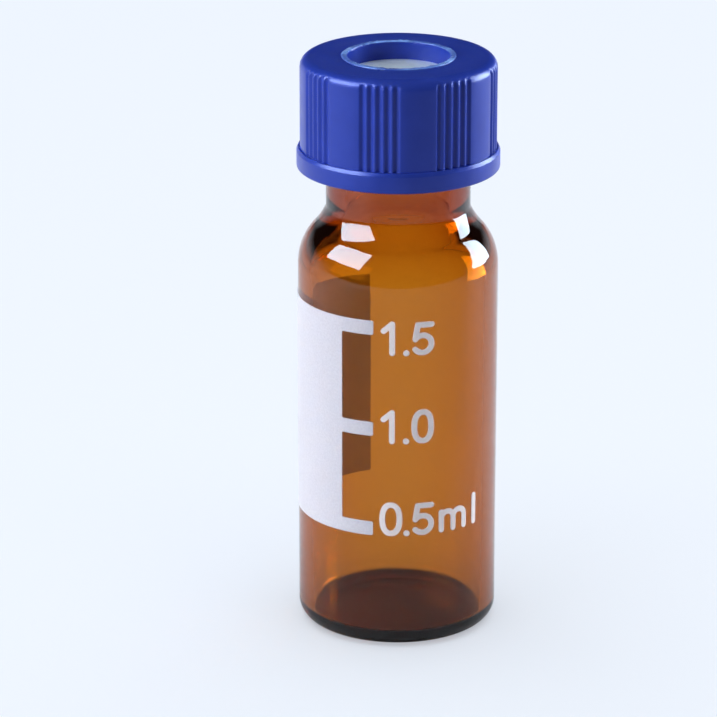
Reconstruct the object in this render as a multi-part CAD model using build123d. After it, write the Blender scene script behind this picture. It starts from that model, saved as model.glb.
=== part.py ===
from build123d import *
import math
import os

# Amber glass: a short tube drawn in at the shoulder to a screw neck
body_diameter = 11.6
glass_height = 32.0
wall_thickness = 0.8
floor_thickness = 0.75
base_edge_radius = 0.95
base_ring_width = 0.6
base_hollow_depth = 0.15
inner_corner_radius = 0.5
shoulder_radius = 3.45
shoulder_step = 1.625
mouth_fillet_radius = 2.5
neck_wall = 1.175
neck_height = 6.63
neck_blend_radius = 3.6
neck_fillet_radius = 0.6
neck_fillet_angle = 23
rim_edge_radius = 0.3

# Screw thread of the neck and the cap, right-handed, with round ridges
thread_pitch = 1.8
thread_turns = 1.5
thread_height = 0.325
thread_width = 1.0
thread_below_rim = 0.95
thread_fade_depth = 0.05
cap_thread_width = 0.9
cap_thread_above_foot = 0.6
crest_clearance = 0.1
flank_clearance = 0.08

# White disc between the glass rim and the cap
septum_thickness = 1.1
septum_clearance = 0.15

# Moulded cap
cap_height = 6.5
cap_wall = 1.0
cap_top_thickness = 1.0
cap_top_edge_radius = 0.63
flange_height = 1.21
flange_step = 0.2
flange_bevel_height = 0.21
flange_bevel_width = 0.1
flange_edge_radius = 0.15
skirt_clearance = 0.15
skirt_lead_in = 0.25
hole_diameter = 5.9
hole_rim_width = 0.33
hole_rim_height = 0.12

# Grip on the cap: groups of upright grooves with smooth panels between them
groove_groups = 8
grooves_per_group = 5
groove_pitch_angle = 5
groove_group_angle = -11
groove_width = 0.44
groove_depth = 0.13
groove_top_margin = 0.2

# White print on the glass: angles are counted from the front, towards the right
print_thickness = 0.04
patch_bottom_height = 7.0
patch_top_margin = 1.68
patch_front_angle = -33
patch_back_angle = -164
patch_corner_radius = 0.25
bar_count = 3
bar_height = 0.85
bar_end_angle = -13.8

# Radii and heights that follow from the sizes above
body_radius = body_diameter / 2
inner_radius = body_radius - wall_thickness
neck_radius = body_radius - shoulder_step
mouth_radius = neck_radius - neck_wall
thread_radius = neck_radius + thread_height
skirt_radius = thread_radius + skirt_clearance
septum_radius = skirt_radius - septum_clearance
cap_radius = skirt_radius + cap_wall
flange_radius = cap_radius + flange_step
hole_radius = hole_diameter / 2
septum_top = glass_height + septum_thickness
cap_top = septum_top + cap_top_thickness
cap_bottom = cap_top - cap_height
flange_top = cap_bottom + flange_height
neck_foot_height = glass_height - neck_height
front_direction = -90
cut_overrun = 1.0


def ridge_radius(height, width):
    """Radius of the circle that stands out by a height over a base of the given width."""
    return (height**2 + (width / 2) ** 2) / (2 * height)


def revolved(edges):
    """Solid of revolution about the upright axis, from the closed half section."""
    return revolve(Plane.XZ * make_face(edges), Axis.Z)


# Shoulder: its round turns into a wide hollow blend, and a short fillet leads on into the tube above
shoulder_centre_radius = body_radius - shoulder_radius
fillet_cosine = math.cos(math.radians(neck_fillet_angle))
fillet_sine = math.sin(math.radians(neck_fillet_angle))


def shoulder_lean(round_radius, tube_radius, blend_radius, fillet_radius):
    """Angle at which the shoulder's round turns into the blend."""
    across = tube_radius + fillet_radius * (1 - fillet_cosine) + blend_radius * fillet_cosine
    return math.acos((across - shoulder_centre_radius) / (round_radius + blend_radius))


def shoulder_rise(round_radius, tube_radius, blend_radius, fillet_radius):
    """Height from the end of the straight wall to the foot of the tube above it."""
    lean_sine = math.sin(shoulder_lean(round_radius, tube_radius, blend_radius, fillet_radius))
    return (round_radius + blend_radius) * lean_sine - (blend_radius - fillet_radius) * fillet_sine


neck_rise = shoulder_rise(shoulder_radius, neck_radius, neck_blend_radius, neck_fillet_radius)
shoulder_start_height = neck_foot_height - neck_rise


def shoulder_arcs(round_radius, tube_radius, blend_radius, fillet_radius):
    """The three tangent arcs that lead from a wall up to a narrower tube above it, and the tube's foot."""
    lean = math.degrees(shoulder_lean(round_radius, tube_radius, blend_radius, fillet_radius))
    foot_height = shoulder_start_height + shoulder_rise(round_radius, tube_radius, blend_radius, fillet_radius)
    shoulder_centre = Vector(shoulder_centre_radius, shoulder_start_height)
    blend_centre = shoulder_centre + Vector(round_radius + blend_radius, 0).rotate(Axis.Z, lean)
    shoulder = CenterArc(shoulder_centre, round_radius, 0, lean)
    blend = CenterArc(blend_centre, blend_radius, 180 + lean, neck_fillet_angle - lean)
    fillet_centre = (tube_radius + fillet_radius, foot_height)
    neck_fillet = CenterArc(fillet_centre, fillet_radius, 180 + neck_fillet_angle, -neck_fillet_angle)
    return [shoulder, blend, neck_fillet], (tube_radius, foot_height)


# Thread ridges: both have a round section, and the cap's lies under the glass's
glass_ridge_radius = ridge_radius(thread_height, thread_width)
glass_ridge_centre = thread_radius - glass_ridge_radius
cap_crest_radius = neck_radius + crest_clearance
cap_ridge_radius = ridge_radius(skirt_radius - cap_crest_radius, cap_thread_width)
cap_ridge_centre = cap_crest_radius + cap_ridge_radius
ridge_spacing = glass_ridge_radius + cap_ridge_radius + flank_clearance
ridge_drop = math.sqrt(ridge_spacing**2 - (cap_ridge_centre - glass_ridge_centre) ** 2)
thread_top = glass_height - thread_below_rim
glass_thread_start = thread_top - thread_pitch * thread_turns
cap_thread_start = cap_bottom + cap_thread_above_foot
cap_thread_lead_angle = 360 * (cap_thread_start + ridge_drop - glass_thread_start) / thread_pitch


def helical_ridge(centre_radius, radius, start_height):
    """Round ridge along the thread's helix, up to the thread's top."""
    path = Helix(thread_pitch, thread_top - start_height, centre_radius)
    section = Plane.XZ * Pos(centre_radius, 0) * Circle(radius)
    return Pos(0, 0, start_height) * sweep(section, path=path, is_frenet=True)


def thread_fade(height, angle):
    """Block outside a plane near the neck's surface, which lets the ridge run out at its end."""
    depth = thread_fade_depth + thread_height + cut_overrun
    sides = (Align.MIN, Align.CENTER, Align.CENTER)
    block = Box(depth, 2 * thread_radius, 2 * glass_ridge_radius, align=sides)
    return Rot(0, 0, angle) * Pos(neck_radius - thread_fade_depth, 0, height) * block


def make_glass_vial():
    ring_outer = body_radius - base_edge_radius
    ring_inner = ring_outer - base_ring_width
    hollow_radius = ridge_radius(base_hollow_depth, 2 * ring_inner)
    hollow_lean = math.degrees(math.asin(ring_inner / hollow_radius))
    outer_arcs, neck_foot = shoulder_arcs(
        shoulder_radius, neck_radius, neck_blend_radius, neck_fillet_radius
    )
    inner_arcs, bore_foot = shoulder_arcs(
        shoulder_radius - wall_thickness, mouth_radius, mouth_fillet_radius, mouth_fillet_radius
    )
    rim_height = glass_height - rim_edge_radius
    rim_outer = neck_radius - rim_edge_radius
    rim_inner = mouth_radius + rim_edge_radius
    corner_radius = inner_radius - inner_corner_radius
    corner_height = floor_thickness + inner_corner_radius
    edges = [
        CenterArc((0, base_hollow_depth - hollow_radius), hollow_radius, 90, -hollow_lean),
        Line((ring_inner, 0), (ring_outer, 0)),
        CenterArc((ring_outer, base_edge_radius), base_edge_radius, -90, 90),
        Line((body_radius, base_edge_radius), (body_radius, shoulder_start_height)),
        *outer_arcs,
        Line(neck_foot, (neck_radius, rim_height)),
        CenterArc((rim_outer, rim_height), rim_edge_radius, 0, 90),
        Line((rim_outer, glass_height), (rim_inner, glass_height)),
        CenterArc((rim_inner, rim_height), rim_edge_radius, 90, 90),
        Line((mouth_radius, rim_height), bore_foot),
        *inner_arcs,
        Line((inner_radius, shoulder_start_height), (inner_radius, corner_height)),
        CenterArc((corner_radius, corner_height), inner_corner_radius, 0, -90),
        Line((corner_radius, floor_thickness), (0, floor_thickness)),
        Line((0, floor_thickness), (0, base_hollow_depth)),
    ]
    thread = helical_ridge(glass_ridge_centre, glass_ridge_radius, glass_thread_start)
    thread -= thread_fade(glass_thread_start, 0)
    thread -= thread_fade(thread_top, 360 * thread_turns)
    return revolved(edges) + thread


def make_septum():
    disc = Cylinder(septum_radius, septum_thickness, align=(Align.CENTER, Align.CENTER, Align.MIN))
    return Pos(0, 0, glass_height) * disc


def grip_grooves():
    """Upright round grooves, in even groups round the cap."""
    radius = ridge_radius(groove_depth, groove_width)
    length = cap_top - groove_top_margin - flange_top
    groove = Cylinder(radius, length, align=(Align.CENTER, Align.CENTER, Align.MIN))
    groove = Pos(cap_radius - groove_depth + radius, 0, flange_top) * groove
    first_angle = front_direction + groove_group_angle - groove_pitch_angle * (grooves_per_group - 1) / 2
    grooves = []
    for group in range(groove_groups):
        for place in range(grooves_per_group):
            angle = first_angle + group * 360 / groove_groups + place * groove_pitch_angle
            grooves.append(Rot(0, 0, angle) * groove)
    return grooves


def make_screw_cap():
    top_edge = cap_radius - cap_top_edge_radius
    top_edge_height = cap_top - cap_top_edge_radius
    flange_edge = flange_radius - flange_edge_radius
    flange_low = cap_bottom + flange_edge_radius
    bevel_foot = (flange_radius, flange_top - flange_bevel_height)
    bevel_head = (flange_radius - flange_bevel_width, flange_top)
    lead_in_radius = skirt_radius + skirt_lead_in
    lead_in_height = cap_bottom + skirt_lead_in
    rim_outer = hole_radius + hole_rim_width
    rim_crest = (hole_radius + hole_rim_width / 2, cap_top + hole_rim_height)
    edges = [
        Line((lead_in_radius, cap_bottom), (flange_edge, cap_bottom)),
        CenterArc((flange_edge, flange_low), flange_edge_radius, -90, 90),
        Line((flange_radius, flange_low), bevel_foot),
        Line(bevel_foot, bevel_head),
        Line(bevel_head, (cap_radius, flange_top)),
        Line((cap_radius, flange_top), (cap_radius, top_edge_height)),
        CenterArc((top_edge, top_edge_height), cap_top_edge_radius, 0, 90),
        Line((top_edge, cap_top), (rim_outer, cap_top)),
        ThreePointArc((rim_outer, cap_top), rim_crest, (hole_radius, cap_top)),
        Line((hole_radius, cap_top), (hole_radius, septum_top)),
        Line((hole_radius, septum_top), (skirt_radius, septum_top)),
        Line((skirt_radius, septum_top), (skirt_radius, lead_in_height)),
        Line((skirt_radius, lead_in_height), (lead_in_radius, cap_bottom)),
    ]
    thread = helical_ridge(cap_ridge_centre, cap_ridge_radius, cap_thread_start)
    return revolved(edges) - grip_grooves() + Rot(0, 0, cap_thread_lead_angle) * thread


def print_field(end_angle, bottom, height):
    """Field of print wrapped on the glass, from the patch's back edge forward to an angle."""
    section = Pos(body_radius, bottom) * Rectangle(print_thickness, height, align=(Align.MIN, Align.MIN))
    field = revolve(Plane.XZ * section, Axis.Z, revolution_arc=end_angle - patch_back_angle)
    return Rot(0, 0, front_direction + patch_back_angle) * field


def make_marking_patch():
    patch_height = shoulder_start_height - patch_top_margin - patch_bottom_height
    bar_step = (patch_height - bar_height) / (bar_count - 1)
    patch = print_field(patch_front_angle, patch_bottom_height, patch_height)
    for place in range(bar_count):
        patch += print_field(bar_end_angle, patch_bottom_height + place * bar_step, bar_height)
    corners = patch.edges().filter_by(lambda edge: edge.length < 2 * print_thickness)
    return fillet(corners, patch_corner_radius)


os.makedirs("parts", exist_ok=True)
export_step(make_glass_vial(), "parts/glass_vial.step")
export_step(make_septum(), "parts/septum.step")
export_step(make_screw_cap(), "parts/screw_cap.step")
export_step(make_marking_patch(), "parts/marking_patch.step")
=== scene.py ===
import bpy
import math
from mathutils import Matrix, Vector, geometry, noise


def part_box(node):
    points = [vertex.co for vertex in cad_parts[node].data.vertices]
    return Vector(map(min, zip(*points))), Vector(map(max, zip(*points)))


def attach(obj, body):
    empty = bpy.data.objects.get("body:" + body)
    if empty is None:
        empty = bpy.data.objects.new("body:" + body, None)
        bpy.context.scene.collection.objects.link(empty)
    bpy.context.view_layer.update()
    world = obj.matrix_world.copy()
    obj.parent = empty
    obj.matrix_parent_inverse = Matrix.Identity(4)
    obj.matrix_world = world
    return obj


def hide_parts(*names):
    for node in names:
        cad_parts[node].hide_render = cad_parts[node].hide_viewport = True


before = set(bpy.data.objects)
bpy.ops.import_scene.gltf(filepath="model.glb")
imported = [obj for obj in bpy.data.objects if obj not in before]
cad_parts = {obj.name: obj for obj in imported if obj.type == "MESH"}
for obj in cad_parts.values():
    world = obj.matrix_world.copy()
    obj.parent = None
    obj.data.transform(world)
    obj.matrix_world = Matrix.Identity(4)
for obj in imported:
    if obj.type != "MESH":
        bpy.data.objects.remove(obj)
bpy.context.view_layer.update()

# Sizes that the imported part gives, in metres
glass_low, glass_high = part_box("glass_vial")
septum_low, septum_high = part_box("septum")
cap_low, cap_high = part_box("screw_cap")
patch_low, patch_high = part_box("marking_patch")
body_radius = (glass_high.x - glass_low.x) / 2
septum_radius = (septum_high.x - septum_low.x) / 2
flange_radius = (cap_high.x - cap_low.x) / 2
print_radius = -patch_low.x

# Amber glass; a scale counts waves in a metre, and a bump is a strength and a height
wall_thickness = 0.0008
floor_thickness = 0.00075
base_edge_radius = 0.00095
base_ring_width = 0.0006
base_hollow_depth = 0.00015
inner_corner_radius = 0.00025
shoulder_radius = 0.00345
shoulder_step = 0.001625
neck_wall = 0.001175
neck_height = 0.00663
neck_blend_radius = 0.0036
neck_fillet_radius = 0.0006
neck_fillet_lean = 23
mouth_fillet_radius = 0.0025
inner_shoulder_drop = 0.0004
rim_edge_radius = 0.0003
glass_segments = 256
glass_ior = 1.5
glass_density = 3000
glass_tint = (0.867, 0.63, 0.0, 1)
glass_wave_scale = 260
glass_roughness = (0, 0.012)
glass_bump = (0.5, 0.00004)

# Screw thread of the neck and the cap
thread_pitch = 0.0018
thread_turns = 1.5
thread_height = 0.000325
thread_width = 0.001
thread_below_rim = 0.00095
thread_fade_share = 0.12
cap_thread_width = 0.0009
cap_thread_above_foot = 0.0006
crest_clearance = 0.0001
flank_clearance = 0.00008
thread_row_height = 0.00007
cap_thread_row_height = 0.000084

# White septum; its colours carry a painted blue cast that stands in for light bounced from the cap's blue
# walls
septum_edge_radius = 0.00006
septum_crown = 0.00005
septum_segments = 128
crown_steps = 16
silicone_colours_with_painted_blue_bounce = ((0.70, 0.86, 0.98, 1), (0.78, 0.92, 1.0, 1))
silicone_grain_scale = 4000
silicone_ramp_shares = (0.3, 0.7)
silicone_roughness = (0.45, 0.65)
silicone_bump = (0.1, 0.00003)

# Blue cap
cap_top_thickness = 0.001
cap_top_edge_radius = 0.00063
flange_height = 0.00121
flange_step = 0.0002
flange_bevel_height = 0.00021
flange_bevel_width = 0.0001
flange_bevel_round = 0.00004
flange_edge_radius = 0.00015
skirt_clearance = 0.00015
skirt_lead_in = 0.00025
groove_groups = 8
grooves_per_group = 5
groove_pitch_angle = 5
groove_group_angle = -11
groove_half_width = 0.00024
groove_depth = 0.00013
groove_top_margin = 0.0002
groove_run_out = 0.0003
groove_step_angle = 0.4
panel_steps = 5
cap_sharp_angle = 50
cap_colours = ((0.012, 0.036, 0.34, 1), (0.016, 0.043, 0.38, 1))
cap_ramp_shares = (0.3, 0.7)
cap_cloud_scale = 700
cap_grain_scale = 6000
cap_roughness = (0.28, 0.36)
cap_specular = 0.45
cap_bump = (0.03, 0.00002)

# Needle hole and its thin, uneven rim
hole_radius = 0.00295
hole_rim_width = 0.00033
hole_rim_height = 0.00012
rim_ripples = 18
rim_lowest_share = 0.45
rim_lean = 0.00012
rim_lean_ripple_share = 0.6
rim_lean_shift = Vector((7, 3, 1))
rim_colour = (0.24, 0.46, 1.0, 1)
rim_rise_share = 1 / 3
rim_wear_scale = 600
rim_wear_shares = (0.3, 1.0)
rim_wear_spread_share = 0.08
rim_front_shares = (0.7, 1)

# White print on the glass: angles are counted from the front, towards the right
print_inset = 0.00001
print_cell = 0.0002
print_sharp_angle = 40
patch_front_angle = -33
patch_back_angle = -162
patch_corner_radius = 0.00008
bar_count = 3
bar_height = 0.00085
bar_end_angle = -13.8
# Field colours: the white print made greyer as painted shade, because the side lamps light the field
# strongly
field_colours_with_painted_shade = ((0.61, 0.635, 0.83, 1), (0.68, 0.705, 0.90, 1))
field_light_depth = 0.00015
# Figure colours: the same white print made brighter as painted light for the dimly lit front, and warmer as
# painted amber light through the glass
figure_colours_with_painted_light = ((0.91, 0.83, 0.88, 1), (0.96, 0.88, 0.93, 1))
figure_light_depth = 0.00004
enamel_grain_scale = 9000
enamel_ramp_shares = (0.3, 0.65)
enamel_roughness = (0.5, 0.7)
enamel_specular = 0.3
enamel_bump = (0.15, 0.00002)

# Figures and letters, each from the lower left of its own place
numeral_height = 0.00207
numeral_width = 0.00132
stroke_half_width = 0.000165
numeral_heights = (0.01803, 0.01268, 0.00702)
one_width = 0.00082
one_flag_drop = 0.00042
five_foot = (0.0002, 0.00098)
five_corner_left = 0.00034
five_corner_drop = 0.00008
five_bar_end = 0.00115
five_bowl_centre = (0.00062, 0.00068)
five_bowl_across = 0.00053
five_bowl_up = 0.000515
five_bowl_angles = (135, -142)
nought_squareness = 0.85
point_share = 1.1
m_height = 0.00142
m_half_arch = 0.00039
m_arch_angle = 165
l_middle = 0.00015
l_height = 0.00195

# Camera, as a point and a direction of view
camera_place = Vector((0, -0.21807, 0.09262))
camera_direction = Vector((-0.00987, 0.94318, -0.33213))
camera_roll = math.radians(0.0126)
camera_clip = 0.001
picture_side = 717
focal_pixels = 3959.5
sensor_width = 36

# Floor: its extent, where it looks darker to gloss, and where its glow grows
background_colour = (0.855, 0.913, 1.0, 1)
dim_floor_colour = (0.41, 0.44, 0.48, 1)
floor_side = 0.6
floor_front = -0.137
floor_back = 0.9
floor_gap = 0.00002
floor_dark_front = (0.01, -0.02)
floor_dark_right = (-0.075, -0.045)
floor_glow_reach = (0.03, 0.2)
floor_glow_shares = (0.5, 1)

# Room around: strengths, and spans of its directions, which have length 1
room_colour = (1, 1, 1, 1)
room_strengths = (0.015, 0.22)
dark_rise_shares = (0.03, 0.09)
behind_shares = (-0.2, 0.3)
wing_outward_shares = (0.3, 0.6)
wing_rise_shares = (0.22, 0.02)

# Lamps: name, azimuth, elevation, distance, width and height, and power in watts
object_lamps = (
    ("left_light", -68, 17, 0.6, (0.45, 0.3), 3.7),
    ("right_light", 105, 14, 0.6, (0.3, 0.3), 3.9),
    ("top_light", 180, 75, 0.7, (0.5, 0.5), 0.5),
    ("back_light", -172, 10, 0.6, (0.3, 0.2), 3.2),
)
floor_lamp = ("floor_light", 180, 88, 0.8, (1.2, 1.2), 9.1)

# Bright cards: name, corners as azimuth and elevation, and the share of the strength seen through glass
card_distance = 0.5
card_colour = (0.68, 0.84, 1.0, 1)
card_strength = 18
cards = (
    ("left_card", ((-96, 19), (-46, 21), (-40, 50), (-98, 42)), 0.5),
    ("right_card", ((93, 4), (131, -4), (124, 25), (108, 38)), 1.6),
)

# Closeness of points that count as one, and the spread of a noise about a half
tiny = 1e-9
noise_spread_share = 0.2


def link(obj):
    bpy.context.scene.collection.objects.link(obj)
    return obj


def mesh_object(name, points, faces, material, sharp_angle=None):
    """Object from points and faces, shaded smooth, with edges sharp beyond an angle if one is given."""
    mesh = bpy.data.meshes.new(name)
    mesh.from_pydata(points, [], faces)
    mesh.materials.append(material)
    mesh.validate()
    mesh.shade_smooth()
    if sharp_angle is not None:
        mesh.set_sharp_from_angle(angle=math.radians(sharp_angle))
    return link(bpy.data.objects.new(name, mesh))


def smooth_step(low, high, value):
    share = min(max((value - low) / (high - low), 0), 1)
    return share * share * (3 - 2 * share)


def line(start, end, steps=1):
    """Points from a start to an end, both included."""
    return [tuple(a + (b - a) * i / steps for a, b in zip(start, end)) for i in range(steps + 1)]


def arc(centre, radius, start, end, steps):
    """Points on a round from one angle in degrees to another, both included."""
    angles = [math.radians(start + (end - start) * i / steps) for i in range(steps + 1)]
    return [(centre[0] + radius * math.cos(a), centre[1] + radius * math.sin(a)) for a in angles]


def joined(*runs):
    """One run of points from several that follow each other."""
    points = []
    for run in runs:
        for point in run:
            if not points or math.dist(point, points[-1]) > tiny:
                points.append(point)
    return points


def rounded_corner(before, corner, after, radius, steps=6):
    """Points of the round that takes the place of a corner between two straight edges."""
    here = Vector(corner)
    back = (Vector(before) - here).normalized()
    on = (Vector(after) - here).normalized()
    half = back.angle(on) / 2
    centre = here + (back + on).normalized() * (radius / math.sin(half))
    first = here + back * (radius / math.tan(half)) - centre
    last = here + on * (radius / math.tan(half)) - centre
    start = math.atan2(first.y, first.x)
    sweep = math.remainder(math.atan2(last.y, last.x) - start, 2 * math.pi)
    return arc(centre, radius, math.degrees(start), math.degrees(start + sweep), steps)


def rounded_outline(corners, radius):
    """Closed outline with each corner rounded, inner corners too."""
    following = corners[1:] + corners[:1]
    before = corners[-1:] + corners[:-1]
    return joined(*(rounded_corner(a, b, c, radius) for a, b, c in zip(before, corners, following)))


def even_angles(count):
    return [2 * math.pi * i / count for i in range(count)]


def ridge_radius(height, width):
    """Radius of the circle that stands out by a height over a base of the given width."""
    return (height**2 + (width / 2) ** 2) / (2 * height)


# Radii and heights that both threaded pieces share
neck_radius = body_radius - shoulder_step
mouth_radius = neck_radius - neck_wall
inner_radius = body_radius - wall_thickness
neck_foot = glass_high.z - neck_height
thread_radius = neck_radius + thread_height
skirt_radius = thread_radius + skirt_clearance
cap_radius = flange_radius - flange_step
cap_top = septum_high.z + cap_top_thickness
flange_top = cap_low.z + flange_height
glass_ridge_radius = ridge_radius(thread_height, thread_width)
glass_ridge_centre = thread_radius - glass_ridge_radius
cap_crest_radius = neck_radius + crest_clearance
cap_ridge_radius = ridge_radius(skirt_radius - cap_crest_radius, cap_thread_width)
cap_ridge_centre = cap_crest_radius + cap_ridge_radius
ridge_spacing = glass_ridge_radius + cap_ridge_radius + flank_clearance
ridge_drop = math.sqrt(ridge_spacing**2 - (cap_ridge_centre - glass_ridge_centre) ** 2)
thread_top = glass_high.z - thread_below_rim
glass_thread_start = thread_top - thread_pitch * thread_turns
cap_thread_start = cap_low.z + cap_thread_above_foot
cap_thread_lead = (cap_thread_start + ridge_drop - glass_thread_start) / thread_pitch


def ridge_reach(angle, height, start, lead, section):
    """How far a helical ridge of round section reaches out of its centre line here, faded at its ends."""
    best = 0
    turn = angle / (2 * math.pi)
    length = (thread_top - start) / thread_pitch
    for lap in range(-1, math.ceil(length) + 1):
        run = turn - lead + lap
        if 0 <= run <= length:
            offset = height - start - run * thread_pitch
            if abs(offset) < section:
                fade = smooth_step(0, thread_fade_share, min(run, length - run))
                best = max(best, fade * math.sqrt(section**2 - offset**2))
    return best


def shoulder_lean(wall_radius, round_radius, tube_radius, blend_radius, fillet_radius):
    """Lean in radians at which the shoulder's round turns into the blend below the neck."""
    fillet = math.radians(neck_fillet_lean)
    across = tube_radius + fillet_radius * (1 - math.cos(fillet)) + blend_radius * math.cos(fillet)
    return math.acos((across - wall_radius + round_radius) / (round_radius + blend_radius))


def shoulder_rise(wall_radius, round_radius, tube_radius, blend_radius, fillet_radius):
    """Height from the end of the straight wall to the foot of the tube above it."""
    lean = math.sin(shoulder_lean(wall_radius, round_radius, tube_radius, blend_radius, fillet_radius))
    fillet = math.sin(math.radians(neck_fillet_lean))
    return round_radius * lean + blend_radius * (lean - fillet) + fillet_radius * fillet


def shoulder_run(start, wall_radius, round_radius, tube_radius, blend_radius, fillet_radius, steps):
    """Shoulder, the wide blend under the neck, and the fillet that leads up into the tube above it."""
    rise = shoulder_rise(wall_radius, round_radius, tube_radius, blend_radius, fillet_radius)
    lean = shoulder_lean(wall_radius, round_radius, tube_radius, blend_radius, fillet_radius)
    centre = wall_radius - round_radius
    reach = round_radius + blend_radius
    blend_centre = (centre + reach * math.cos(lean), start + reach * math.sin(lean))
    fillet_centre = (tube_radius + fillet_radius, start + rise)
    lean = math.degrees(lean)
    return joined(
        arc((centre, start), round_radius, 0, lean, steps),
        arc(blend_centre, blend_radius, 180 + lean, 180 + neck_fillet_lean, steps // 2),
        arc(fillet_centre, fillet_radius, 180 + neck_fillet_lean, 180, steps // 3),
    )


def lathe(name, rows, angles, material, moved=None, closed=False, sharp_angle=None):
    """Turned piece: rows of radius and height, each a ring; moved gives a point's own radius and height.
    Unless the rows close on themselves, the first and the last lie on the axis."""
    rings = rows if closed else rows[1:-1]
    count = len(angles)
    points = []
    for radius, height in rings:
        for angle in angles:
            r, z = moved(angle, radius, height) if moved else (radius, height)
            points.append((r * math.cos(angle), r * math.sin(angle), z))
    faces = []
    for ring in range(len(rings) if closed else len(rings) - 1):
        here = ring * count
        above = (ring + 1) % len(rings) * count
        for i in range(count):
            j = (i + 1) % count
            faces.append((here + i, here + j, above + j, above + i))
    if not closed:
        last = (len(rings) - 1) * count
        points.append((0, 0, rows[0][1]))
        points.append((0, 0, rows[-1][1]))
        for i in range(count):
            j = (i + 1) % count
            faces.append((len(points) - 2, j, i))
            faces.append((len(points) - 1, last + i, last + j))
    return mesh_object(name, points, faces, material, sharp_angle)


def new_material(name):
    """Material with its nodes, its links and its shader."""
    material = bpy.data.materials.new(name)
    material.use_nodes = True
    nodes = material.node_tree.nodes
    return material, nodes, material.node_tree.links, nodes["Principled BSDF"]


def place_of(nodes, coordinates):
    """Place or direction that is shaded."""
    return nodes.new("ShaderNodeTexCoord").outputs[coordinates]


def parts_of(nodes, links, place):
    """X, Y and Z of a place or direction."""
    node = nodes.new("ShaderNodeSeparateXYZ")
    links.new(place, node.inputs["Vector"])
    return node.outputs


def noise_value(nodes, links, scale, detail):
    """Noise over the piece's own places, with a scale in waves to a metre."""
    texture = nodes.new("ShaderNodeTexNoise")
    texture.inputs["Scale"].default_value = scale
    texture.inputs["Detail"].default_value = detail
    links.new(place_of(nodes, "Object"), texture.inputs["Vector"])
    return texture.outputs["Fac"]


def map_range(nodes, links, source, span, result=(0, 1)):
    """Value brought from a span to the range of a result, and held at its ends."""
    node = nodes.new("ShaderNodeMapRange")
    node.inputs["From Min"].default_value = span[0]
    node.inputs["From Max"].default_value = span[1]
    node.inputs["To Min"].default_value = result[0]
    node.inputs["To Max"].default_value = result[1]
    links.new(source, node.inputs["Value"])
    return node.outputs["Result"]


def ranged(nodes, links, source, result, spread=noise_spread_share):
    """Noise, which lies within a spread about a half, brought to the range of a result."""
    return map_range(nodes, links, source, (0.5 - spread, 0.5 + spread), result)


def worked_out(nodes, links, operation, *sources):
    """Value that a sum or product makes from others."""
    node = nodes.new("ShaderNodeMath")
    node.operation = operation
    for socket, source in zip(node.inputs, sources):
        links.new(source, socket)
    return node.outputs["Value"]


def colour_ramp(nodes, links, source, shares, colours):
    node = nodes.new("ShaderNodeValToRGB")
    for element, share, colour in zip(node.color_ramp.elements, shares, colours):
        element.position = share
        element.color = colour
    links.new(source, node.inputs["Fac"])
    return node.outputs["Color"]


def mixed_shader(nodes, links, share, first, second):
    node = nodes.new("ShaderNodeMixShader")
    for socket, source in zip(node.inputs, (share, first, second)):
        links.new(source, socket)
    return node.outputs["Shader"]


def bumped(nodes, links, shader, source, bump):
    node = nodes.new("ShaderNodeBump")
    node.inputs["Strength"].default_value = bump[0]
    node.inputs["Distance"].default_value = bump[1]
    links.new(source, node.inputs["Height"])
    links.new(node.outputs["Normal"], shader.inputs["Normal"])


def grained_material(name, scale, detail, shares, colours, roughness, bump):
    """Material whose fine grain sets its colour, its roughness and its bump, with its shader."""
    material, nodes, links, shader = new_material(name)
    grain = noise_value(nodes, links, scale, detail)
    links.new(colour_ramp(nodes, links, grain, shares, colours), shader.inputs["Base Color"])
    links.new(ranged(nodes, links, grain, roughness), shader.inputs["Roughness"])
    bumped(nodes, links, shader, grain, bump)
    return material, shader


def amber_glass():
    """Clear glass with a faint waviness, coloured by its thickness."""
    material, nodes, links, shader = new_material("amber_glass")
    shader.inputs["Base Color"].default_value = (1, 1, 1, 1)
    shader.inputs["IOR"].default_value = glass_ior
    shader.inputs["Transmission Weight"].default_value = 1
    wave = noise_value(nodes, links, glass_wave_scale, 1)
    links.new(ranged(nodes, links, wave, glass_roughness), shader.inputs["Roughness"])
    bumped(nodes, links, shader, wave, glass_bump)
    absorption = nodes.new("ShaderNodeVolumeAbsorption")
    absorption.inputs["Color"].default_value = glass_tint
    absorption.inputs["Density"].default_value = glass_density
    links.new(absorption.outputs["Volume"], nodes["Material Output"].inputs["Volume"])
    return material


def white_enamel(name, colours, light_depth):
    """Fired print, into which light sinks to a small depth."""
    material, shader = grained_material(
        name, enamel_grain_scale, 3, enamel_ramp_shares, colours, enamel_roughness, enamel_bump
    )
    shader.inputs["Specular IOR Level"].default_value = enamel_specular
    shader.inputs["Subsurface Weight"].default_value = 1
    shader.inputs["Subsurface Radius"].default_value = (1, 1, 1)
    shader.inputs["Subsurface Scale"].default_value = light_depth
    return material


def white_silicone():
    # The colours are white silicone with painted blue bounce light from the cap's walls
    return grained_material(
        "white_silicone",
        silicone_grain_scale,
        4,
        silicone_ramp_shares,
        silicone_colours_with_painted_blue_bounce,
        silicone_roughness,
        silicone_bump,
    )[0]


def hole_rim_share(nodes, links):
    """How much of a point of the cap belongs to the thin rim round its hole, less where the rim is worn."""
    place = parts_of(nodes, links, place_of(nodes, "Object"))
    rise = map_range(nodes, links, place["Z"], (cap_top, cap_top + hole_rim_height * rim_rise_share))
    wear = noise_value(nodes, links, rim_wear_scale, 4)
    patchy = ranged(nodes, links, wear, rim_wear_shares, rim_wear_spread_share)
    front = map_range(nodes, links, place["Y"], (-hole_radius, -hole_radius / 2), rim_front_shares)
    share = worked_out(nodes, links, "MULTIPLY", rise, patchy)
    return worked_out(nodes, links, "MULTIPLY", share, front)


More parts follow.
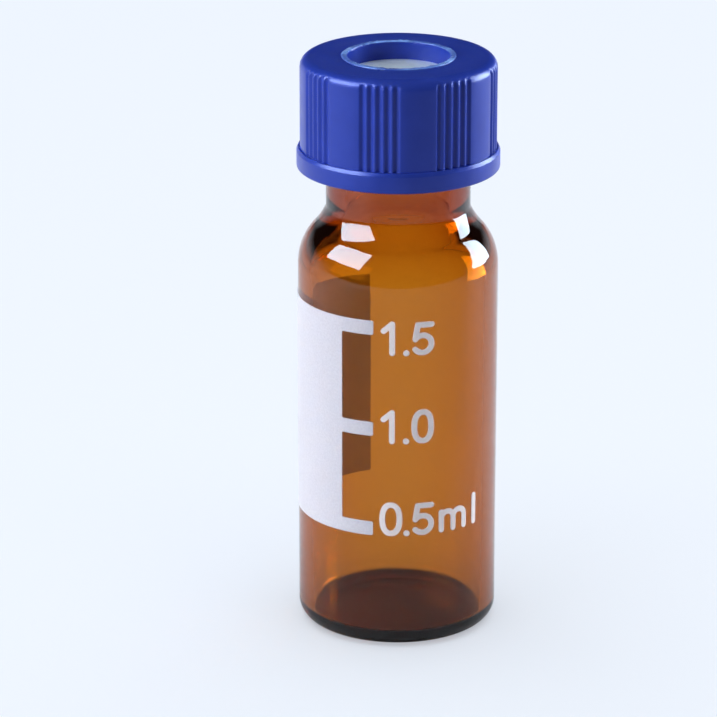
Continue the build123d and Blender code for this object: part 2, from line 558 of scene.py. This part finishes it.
def blue_plastic():
    material, nodes, links, shader = new_material("blue_plastic")
    cloud = noise_value(nodes, links, cap_cloud_scale, 4)
    grain = noise_value(nodes, links, cap_grain_scale, 3)
    rim = nodes.new("ShaderNodeMix")
    rim.data_type = "RGBA"
    links.new(hole_rim_share(nodes, links), rim.inputs["Factor"])
    links.new(colour_ramp(nodes, links, cloud, cap_ramp_shares, cap_colours), rim.inputs["A"])
    rim.inputs["B"].default_value = rim_colour
    links.new(rim.outputs["Result"], shader.inputs["Base Color"])
    links.new(ranged(nodes, links, cloud, cap_roughness), shader.inputs["Roughness"])
    shader.inputs["Specular IOR Level"].default_value = cap_specular
    bumped(nodes, links, shader, grain, cap_bump)
    return material


def make_glass():
    ring_outer = body_radius - base_edge_radius
    ring_inner = ring_outer - base_ring_width
    hollow_radius = ridge_radius(base_hollow_depth, 2 * ring_inner)
    hollow_lean = math.degrees(math.asin(ring_inner / hollow_radius))
    hollow = arc((0, base_hollow_depth - hollow_radius), hollow_radius, 90, 90 - hollow_lean, 10)
    base_edge = arc((ring_outer, base_edge_radius), base_edge_radius, -90, 0, 20)
    outer = (body_radius, shoulder_radius, neck_radius, neck_blend_radius, neck_fillet_radius)
    inner_round = shoulder_radius - wall_thickness
    inner = (inner_radius, inner_round, mouth_radius, mouth_fillet_radius, mouth_fillet_radius)
    shoulder_start = neck_foot - shoulder_rise(*outer)
    outer_shoulder = shoulder_run(shoulder_start, *outer, 48)
    inner_shoulder = shoulder_run(shoulder_start - inner_shoulder_drop, *inner, 36)
    rim_height = glass_high.z - rim_edge_radius
    rim_outer = arc((neck_radius - rim_edge_radius, rim_height), rim_edge_radius, 0, 90, 8)
    rim_inner = arc((mouth_radius + rim_edge_radius, rim_height), rim_edge_radius, 90, 180, 8)
    thread_low = glass_thread_start - 2 * glass_ridge_radius
    thread_rows = round((rim_height - thread_low) / thread_row_height)
    corner_centre = (inner_radius - inner_corner_radius, floor_thickness + inner_corner_radius)
    corner = arc(corner_centre, inner_corner_radius, 0, -90, 10)
    rows = joined(
        hollow,
        line(hollow[-1], base_edge[0], 3),
        base_edge,
        line(base_edge[-1], outer_shoulder[0], 16),
        outer_shoulder,
        line(outer_shoulder[-1], (neck_radius, thread_low), 6),
        line((neck_radius, thread_low), (neck_radius, rim_height), thread_rows),
        rim_outer,
        line(rim_outer[-1], rim_inner[0], 3),
        rim_inner,
        line(rim_inner[-1], inner_shoulder[-1], 10),
        inner_shoulder[::-1],
        line(inner_shoulder[0], corner[0], 16),
        corner,
        line(corner[-1], (0, floor_thickness), 8),
    )

    def threaded(angle, radius, height):
        if abs(radius - neck_radius) > tiny:
            return radius, height
        ridge = ridge_reach(angle, height, glass_thread_start, 0, glass_ridge_radius)
        return max(radius, glass_ridge_centre + ridge), height

    vial = lathe("amber_vial", rows, even_angles(glass_segments), amber_glass(), threaded)
    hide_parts("glass_vial")
    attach(vial, "vial")


def make_septum():
    low = septum_low.z
    high = septum_high.z
    edge = septum_edge_radius
    rim = septum_radius - edge
    crown = [
        (hole_radius * (1 - i / crown_steps), high + septum_crown * math.sin(math.pi / 2 * i / crown_steps))
        for i in range(crown_steps + 1)
    ]
    rows = joined(
        line((0, low), (rim, low), 8),
        arc((rim, low + edge), edge, -90, 0, 4),
        arc((rim, high - edge), edge, 0, 90, 4),
        line((rim, high), (hole_radius, high), 6),
        crown,
    )
    disc = lathe("septum_disc", rows, even_angles(septum_segments), white_silicone())
    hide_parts("septum")
    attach(disc, "septum")


def groove_share(angle):
    """Depth of the grip's grooves at an angle, as a share of the whole depth."""
    pitch = 360 / groove_groups
    turned = math.degrees(angle) + 90 - groove_group_angle
    place = (turned + pitch / 2) % pitch - pitch / 2
    last = (grooves_per_group - 1) / 2
    nearest = min(max(round(place / groove_pitch_angle), -last), last)
    apart = math.radians(abs(place - nearest * groove_pitch_angle)) * cap_radius
    if apart >= groove_half_width:
        return 0
    return (1 + math.cos(math.pi * apart / groove_half_width)) / 2


def cap_angles():
    """Angles round the cap, close together in the groups of grooves and wide apart on the panels."""
    pitch = 360 / groove_groups
    half_span = groove_pitch_angle * grooves_per_group / 2
    groove_steps = round(2 * half_span / groove_step_angle)
    angles = []
    for group in range(groove_groups):
        first = groove_group_angle - 90 + group * pitch - half_span
        angles += [first + 2 * half_span * i / groove_steps for i in range(groove_steps)]
        panel = pitch - 2 * half_span
        angles += [first + 2 * half_span + panel * i / panel_steps for i in range(panel_steps)]
    return [math.radians(a) for a in angles]


def uneven_rim(angle, radius, height):
    """Place of a point of the hole's rim, whose height and lean change on the way round."""
    place = Vector((math.cos(angle), math.sin(angle), 0)) * rim_ripples
    rough = noise.noise(place) * 0.5 + 0.5
    lean = noise.noise(place * rim_lean_ripple_share + rim_lean_shift)
    rise = height - cap_top
    high = cap_top + rise * (rim_lowest_share + (1 - rim_lowest_share) * rough)
    return radius + rim_lean * lean * rise / hole_rim_height, high


def make_cap():
    top_edge = cap_radius - cap_top_edge_radius
    top_edge_height = cap_top - cap_top_edge_radius
    flange_edge = flange_radius - flange_edge_radius
    flange_edge_height = cap_low.z + flange_edge_radius
    lead_in = (skirt_radius + skirt_lead_in, cap_low.z)
    lead_in_top = (skirt_radius, cap_low.z + skirt_lead_in)
    groove_top = cap_top - groove_top_margin
    rim_middle = hole_radius + hole_rim_width / 2
    hole_rim = [
        (rim_middle + hole_rim_width / 2 * math.cos(a), cap_top + hole_rim_height * math.sin(a))
        for a in [math.pi * i / 10 for i in range(11)]
    ]
    bevel_foot = (flange_radius, flange_top - flange_bevel_height)
    bevel_head = (flange_radius - flange_bevel_width, flange_top)
    bevel = joined(
        rounded_corner((flange_radius, flange_edge_height), bevel_foot, bevel_head, flange_bevel_round),
        rounded_corner(bevel_foot, bevel_head, (cap_radius, flange_top), flange_bevel_round),
    )
    thread_rows = round((septum_high.z - lead_in_top[1]) / cap_thread_row_height)
    side = joined(
        line((cap_radius, flange_top), (cap_radius, top_edge_height), 12),
        arc((top_edge, top_edge_height), cap_top_edge_radius, 0, 90, 16),
    )
    rows = joined(
        line(lead_in, (flange_edge, cap_low.z), 3),
        arc((flange_edge, flange_edge_height), flange_edge_radius, -90, 0, 6),
        bevel,
        side,
        line((top_edge, cap_top), hole_rim[0], 6),
        hole_rim,
        line((hole_radius, cap_top), (hole_radius, septum_high.z), 5),
        line((hole_radius, septum_high.z), (skirt_radius, septum_high.z), 4),
        line((skirt_radius, septum_high.z), lead_in_top, thread_rows),
        line(lead_in_top, lead_in, 2)[:-1],
    )
    side_points = set(side)
    rim_points = set(hole_rim[1:-1])

    def shaped(angle, radius, height):
        if (radius, height) in side_points:
            depth = groove_depth * groove_share(angle)
            depth *= 1 - smooth_step(groove_top - groove_run_out, groove_top, height)
            return radius - depth, height
        if (radius, height) in rim_points:
            return uneven_rim(angle, radius, height)
        if abs(radius - skirt_radius) < tiny and lead_in_top[1] < height < septum_high.z:
            ridge = ridge_reach(angle, height, cap_thread_start, cap_thread_lead, cap_ridge_radius)
            return min(radius, cap_ridge_centre - ridge), height
        return radius, height

    cap = lathe("blue_screw_cap", rows, cap_angles(), blue_plastic(), shaped, True, cap_sharp_angle)
    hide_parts("screw_cap")
    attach(cap, "cap")


def stroke(path):
    """Outline of a pen stroke along a path, with round ends."""
    left = []
    right = []
    for i, point in enumerate(path):
        before = Vector(path[max(i - 1, 0)])
        after = Vector(path[min(i + 1, len(path) - 1)])
        along = (after - before).normalized()
        across = Vector((-along.y, along.x)) * stroke_half_width
        left.append(tuple(Vector(point) + across))
        right.append(tuple(Vector(point) - across))
    start = Vector(path[1]) - Vector(path[0])
    end = Vector(path[-1]) - Vector(path[-2])
    start_angle = math.degrees(math.atan2(start.y, start.x))
    end_angle = math.degrees(math.atan2(end.y, end.x))
    end_cap = arc(path[-1], stroke_half_width, end_angle - 90, end_angle + 90, 10)
    start_cap = arc(path[0], stroke_half_width, start_angle + 90, start_angle + 270, 10)
    return joined(right, end_cap, left[::-1], start_cap)[:-1]


def oval(centre, across, up, start, end, steps=40, squareness=1.0):
    """Points on an oval between two angles in degrees; a squareness under 1 flattens its sides."""
    points = []
    for i in range(steps + 1):
        a = math.radians(start + (end - start) * i / steps)
        x = math.copysign(abs(math.cos(a)) ** squareness, math.cos(a))
        y = math.copysign(abs(math.sin(a)) ** squareness, math.sin(a))
        points.append((centre[0] + across * x, centre[1] + up * y))
    return points


# Each figure or letter gives its outlines, and whether an outline inside another is a hole
def figure_one():
    stem = one_width - stroke_half_width
    top = numeral_height - stroke_half_width
    flag = line((stroke_half_width, top - one_flag_drop), (stem, top), 6)
    return [stroke(line((stem, top), (stem, stroke_half_width), 12)), stroke(flag)], False


def figure_five():
    corner = (five_corner_left, numeral_height - stroke_half_width - five_corner_drop)
    bowl = oval(five_bowl_centre, five_bowl_across, five_bowl_up, *five_bowl_angles)
    bar = line(corner, (five_bar_end, corner[1]), 8)
    return [stroke(line(corner, five_foot, 8)), stroke(bar), stroke(joined([five_foot], bowl))], False


def figure_nought():
    centre = (numeral_width / 2, numeral_height / 2)
    outer = oval(centre, centre[0], centre[1], 0, 360, 72, nought_squareness)[:-1]
    inner_across = centre[0] - 2 * stroke_half_width
    inner_up = centre[1] - 2 * stroke_half_width
    return [outer, oval(centre, inner_across, inner_up, 0, 360, 60, nought_squareness)[:-1]], True


def figure_point():
    centre = (stroke_half_width, stroke_half_width)
    return [arc(centre, stroke_half_width * point_share, 0, 360, 24)[:-1]], False


def letter_m():
    top = m_height - stroke_half_width
    foot = stroke_half_width
    strokes = [stroke(line((foot, top), (foot, foot), 8))]
    for place in range(2):
        middle = (foot + m_half_arch * (2 * place + 1), top - m_half_arch)
        arch = oval(middle, m_half_arch, m_half_arch, m_arch_angle, 0, 20)
        strokes.append(stroke(joined(arch, line(arch[-1], (arch[-1][0], foot), 6))))
    return strokes, False


def letter_l():
    return [stroke(line((l_middle, stroke_half_width), (l_middle, l_height - stroke_half_width), 12))], False


# Figures of the three lines of print: each with the angle at which its left side stands
number_lines = (
    ((figure_one, -9.5), (figure_point, 3.3), (figure_five, 8.0)),
    ((figure_one, -9.5), (figure_point, 3.3), (figure_nought, 8.0)),
    (
        (figure_nought, -10.0),
        (figure_point, 3.8),
        (figure_five, 8.5),
        (letter_m, 24.5),
        (letter_l, 48.0),
    ),
)


def divided(outline):
    """Closed outline with no stretch longer than a cell of print, so that it follows the glass."""
    points = []
    for start, end in zip(outline, outline[1:] + outline[:1]):
        points += line(start, end, math.ceil(math.dist(start, end) / print_cell))[:-1]
    return points


def filled(outlines, with_holes):
    """Triangles inside closed outlines, with points between so that they bend smoothly round the glass."""
    points = []
    loops = []
    for outline in map(divided, outlines):
        loops.append(list(range(len(points), len(points) + len(outline))))
        points += outline
    low = [min(p[i] for p in points) for i in range(2)]
    high = [max(p[i] for p in points) for i in range(2)]
    counts = [max(1, round((b - a) / print_cell)) for a, b in zip(low, high)]
    for i in range(1, counts[0]):
        for j in range(1, counts[1]):
            x = low[0] + (high[0] - low[0]) * i / counts[0]
            y = low[1] + (high[1] - low[1]) * (j + 0.5 * (i % 2)) / counts[1]
            points.append((x, y))
    kept_inside = 2 if with_holes else 1
    result = geometry.delaunay_2d_cdt([Vector(p) for p in points], [], loops, kept_inside, tiny)
    return [tuple(p) for p in result[0]], [list(f) for f in result[2]]


def wrapped_print(name, shapes, material):
    """Thin print on the glass from flat shapes, whose places are arc length from the front and height."""
    points = []
    faces = []
    for flat_points, triangles in shapes:
        used = sorted({i for t in triangles for i in t})
        front = {flat: len(points) + n for n, flat in enumerate(used)}
        back = {flat: len(points) + len(used) + n for n, flat in enumerate(used)}
        for radius in (print_radius, body_radius - print_inset):
            for flat in used:
                angle = flat_points[flat][0] / body_radius
                points.append((radius * math.sin(angle), -radius * math.cos(angle), flat_points[flat][1]))
        sides = {}
        for a, b, c in triangles:
            faces.append((front[a], front[b], front[c]))
            faces.append((back[c], back[b], back[a]))
            for edge in ((a, b), (b, c), (c, a)):
                sides[edge] = True
        for a, b in sides:
            if (b, a) not in sides:
                faces.append((front[b], front[a], back[a], back[b]))
    piece = mesh_object(name, points, faces, material, print_sharp_angle)
    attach(piece, "vial")
    return piece


def patch_outline():
    """Outline of the writing field with its bars, as arc length from the front and height."""
    back, front, bar_end = [
        math.radians(a) * body_radius for a in (patch_back_angle, patch_front_angle, bar_end_angle)
    ]
    low = patch_low.z
    step = (patch_high.z - low - bar_height) / (bar_count - 1)
    corners = [(back, patch_high.z), (back, low)]
    for place in range(bar_count):
        bar_low = low + place * step
        bar_high = bar_low + bar_height
        sides = [(front, bar_low), (bar_end, bar_low), (bar_end, bar_high), (front, bar_high)]
        first = 1 if place == 0 else 0
        last = 3 if place == bar_count - 1 else 4
        corners += sides[first:last]
    return rounded_outline(corners, patch_corner_radius)


def make_print():
    # Field and figures are lit and shaded copies of one white enamel: painted shade on the field, painted
    # light on the figures
    field_enamel_painted_darker = white_enamel("field_enamel_painted_darker", field_colours_with_painted_shade, field_light_depth)
    figure_enamel_painted_brighter = white_enamel("figure_enamel_painted_brighter", figure_colours_with_painted_light, figure_light_depth)
    patch = wrapped_print("white_patch", [filled([patch_outline()], False)], field_enamel_painted_darker)
    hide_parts("marking_patch")
    shapes = []
    for height, figures in zip(numeral_heights, number_lines):
        for figure, angle in figures:
            outlines, with_holes = figure()
            left = math.radians(angle) * body_radius
            placed = [[(left + x, height + y) for x, y in outline] for outline in outlines]
            shapes.append(filled(placed, with_holes))
    wrapped_print("graduation_numerals", shapes, figure_enamel_painted_brighter)


def make_camera():
    data = bpy.data.cameras.new("camera")
    data.sensor_width = sensor_width
    data.lens = focal_pixels * sensor_width / picture_side
    data.clip_start = camera_clip
    camera = link(bpy.data.objects.new("camera", data))
    turn = camera_direction.to_track_quat("-Z", "Y").to_matrix() @ Matrix.Rotation(camera_roll, 3, "Z")
    camera.matrix_world = Matrix.Translation(camera_place) @ turn.to_4x4()
    bpy.context.scene.camera = camera


def direction(azimuth, elevation):
    """Unit direction from the object; azimuth 0 is towards the front, positive to the right."""
    a = math.radians(azimuth)
    e = math.radians(elevation)
    return Vector((math.cos(e) * math.sin(a), -math.cos(e) * math.cos(a), math.sin(e)))


def soft_light(name, azimuth, elevation, distance, size, power):
    """Lamp that points at the object's foot and lights softly, without showing in gloss or through glass."""
    data = bpy.data.lights.new(name, "AREA")
    data.shape = "RECTANGLE"
    data.size, data.size_y = size
    data.energy = power
    lamp = link(bpy.data.objects.new(name, data))
    place = direction(azimuth, elevation) * distance
    turn = (-place).to_track_quat("-Z", "Y").to_matrix()
    lamp.matrix_world = Matrix.Translation(place) @ turn.to_4x4()
    lamp.visible_glossy = False
    lamp.visible_transmission = False
    return lamp


def reflected_card(name, corners, through_share):
    """Bright card that shows only in gloss and through glass."""
    material, nodes, links, shader = new_material(name)
    nodes.remove(shader)
    glow = nodes.new("ShaderNodeEmission")
    glow.inputs["Color"].default_value = card_colour
    through = nodes.new("ShaderNodeLightPath").outputs["Is Transmission Ray"]
    strengths = (card_strength, card_strength * through_share)
    links.new(map_range(nodes, links, through, (0, 1), strengths), glow.inputs["Strength"])
    links.new(glow.outputs["Emission"], nodes["Material Output"].inputs["Surface"])
    points = [direction(azimuth, elevation) * card_distance for azimuth, elevation in corners]
    card = mesh_object(name, points, [(0, 1, 2, 3)], material)
    card.visible_camera = False
    card.visible_diffuse = False
    card.visible_shadow = False


def diffuse_paint(nodes, colour):
    node = nodes.new("ShaderNodeBsdfDiffuse")
    node.inputs["Color"].default_value = colour
    return node.outputs["BSDF"]


def floor_material():
    """Pale floor. It is dimmer to the light that it throws back, and its front is dimmer in gloss, but for
    the left. Only the camera sees its glow, which grows away from the object."""
    material, nodes, links, shader = new_material("floor")
    nodes.remove(shader)
    rays = nodes.new("ShaderNodeLightPath").outputs
    place = place_of(nodes, "Object")
    parts = parts_of(nodes, links, place)
    front = map_range(nodes, links, parts["Y"], floor_dark_front)
    right = map_range(nodes, links, parts["X"], floor_dark_right)
    darker = worked_out(nodes, links, "MULTIPLY", front, right)
    dim_share = worked_out(
        nodes, links, "MULTIPLY_ADD", rays["Is Glossy Ray"], darker, rays["Is Diffuse Ray"]
    )
    white = diffuse_paint(nodes, background_colour)
    dim = diffuse_paint(nodes, dim_floor_colour)
    paint = mixed_shader(nodes, links, dim_share, white, dim)
    glow = nodes.new("ShaderNodeEmission")
    glow.inputs["Color"].default_value = background_colour
    away = nodes.new("ShaderNodeVectorMath")
    away.operation = "LENGTH"
    links.new(place, away.inputs[0])
    glow_share = map_range(nodes, links, away.outputs["Value"], floor_glow_reach, floor_glow_shares)
    shown = worked_out(nodes, links, "MULTIPLY", glow_share, rays["Is Camera Ray"])
    surface = mixed_shader(nodes, links, shown, paint, glow.outputs["Emission"])
    links.new(surface, nodes["Material Output"].inputs["Surface"])
    return material


def make_floor():
    low = -floor_gap
    corners = [
        (-floor_side, floor_front, low),
        (floor_side, floor_front, low),
        (floor_side, floor_back, low),
        (-floor_side, floor_back, low),
    ]
    floor = mesh_object("floor", corners, [(0, 1, 2, 3)], floor_material())
    return floor


def make_world():
    """Room that is pale to the camera, and dim to what it lights. Through glass it is pale too, but dark
    high up behind. Gloss sees it dark, with pale wings low down at both sides behind."""
    world = bpy.data.worlds.new("studio")
    bpy.context.scene.world = world
    world.use_nodes = True
    nodes = world.node_tree.nodes
    links = world.node_tree.links
    rays = nodes.new("ShaderNodeLightPath").outputs
    pale = nodes["Background"]
    pale.inputs["Color"].default_value = background_colour
    pale.inputs["Strength"].default_value = 1
    room = nodes.new("ShaderNodeBackground")
    room.inputs["Color"].default_value = room_colour
    strength = map_range(nodes, links, rays["Diffuse Depth"], (0, 1), room_strengths)
    links.new(strength, room.inputs["Strength"])
    place = parts_of(nodes, links, place_of(nodes, "Generated"))
    behind = map_range(nodes, links, place["Y"], behind_shares)
    high = map_range(nodes, links, place["Z"], dark_rise_shares)
    dark = worked_out(nodes, links, "MULTIPLY", high, behind)
    not_dark = map_range(nodes, links, dark, (0, 1), (1, 0))
    straight = map_range(nodes, links, rays["Diffuse Depth"], (0, 1), (1, 0))
    through = worked_out(nodes, links, "MULTIPLY", rays["Is Transmission Ray"], straight)
    outward = worked_out(nodes, links, "ABSOLUTE", place["X"])
    beside = map_range(nodes, links, outward, wing_outward_shares)
    low = map_range(nodes, links, place["Z"], wing_rise_shares)
    low_beside = worked_out(nodes, links, "MULTIPLY", beside, low)
    wing = worked_out(nodes, links, "MULTIPLY", low_beside, behind)
    seen = worked_out(nodes, links, "MULTIPLY_ADD", rays["Is Glossy Ray"], wing, rays["Is Camera Ray"])
    seen = worked_out(nodes, links, "MULTIPLY_ADD", through, not_dark, seen)
    surface = mixed_shader(nodes, links, seen, room.outputs["Background"], pale.outputs["Background"])
    links.new(surface, nodes["World Output"].inputs["Surface"])


def make_lights(floor):
    """Soft lamps round the object, which leave the floor dark, a lamp for the floor, and bright cards."""
    not_lit = bpy.data.collections.new("not_lit_from_the_sides")
    not_lit.objects.link(floor)
    not_lit.collection_objects[0].light_linking.link_state = "EXCLUDE"
    for lamp in object_lamps:
        soft_light(*lamp).light_linking.receiver_collection = not_lit
    lit = bpy.data.collections.new("lit_from_above")
    lit.objects.link(floor)
    soft_light(*floor_lamp).light_linking.receiver_collection = lit
    for card in cards:
        reflected_card(*card)


make_glass()
make_septum()
make_cap()
make_print()
make_camera()
make_world()
make_lights(make_floor())
bpy.context.scene.view_settings.view_transform = "Standard"
bpy.context.scene.cycles.use_denoising = True
